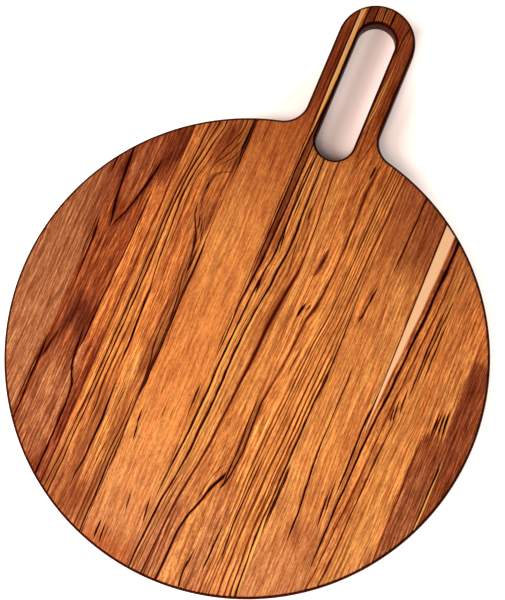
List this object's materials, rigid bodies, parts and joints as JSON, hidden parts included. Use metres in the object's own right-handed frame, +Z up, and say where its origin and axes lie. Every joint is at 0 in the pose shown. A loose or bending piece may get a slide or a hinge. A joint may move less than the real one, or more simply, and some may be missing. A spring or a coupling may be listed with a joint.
{
  "type": "serving board",
  "caption": "Round edge-glued hardwood serving board with rounded edges and a round-ended loop handle; its finger slot is also used to hang it up",
  "frame": {"origin": "the centre of the round, on the flat underside that the board rests on", "axes": "+Z up out of the serving face, +Y from the centre of the round along the handle, +X to the right of the handle seen from above"},
  "size_m": [0.3556, 0.4628, 0.016],
  "materials": {
    "teak_centre": "oiled teak, satin",
    "teak_left_1": "oiled teak, satin",
    "teak_left_2": "oiled teak, satin",
    "teak_left_3": "oiled teak, satin",
    "teak_left_4": "oiled teak, satin",
    "teak_right_1": "oiled teak, satin",
    "teak_right_2": "oiled teak, satin",
    "teak_right_3": "oiled teak, satin",
    "teak_right_4": "oiled teak, satin",
    "glue": "cured wood glue, brown"
  },
  "bodies": {
    "root": {"centre_stave": "teak_centre", "left_stave_1": "teak_left_1", "left_stave_2": "teak_left_2", "left_stave_3": "teak_left_3", "left_stave_4": "teak_left_4", "right_stave_1": "teak_right_1", "right_stave_2": "teak_right_2", "right_stave_3": "teak_right_3", "right_stave_4": "teak_right_4", "left_glue_line_1": "glue", "left_glue_line_2": "glue", "left_glue_line_3": "glue", "left_glue_line_4": "glue", "right_glue_line_1": "glue", "right_glue_line_2": "glue", "right_glue_line_3": "glue", "right_glue_line_4": "glue"}
  },
  "joints": []
}
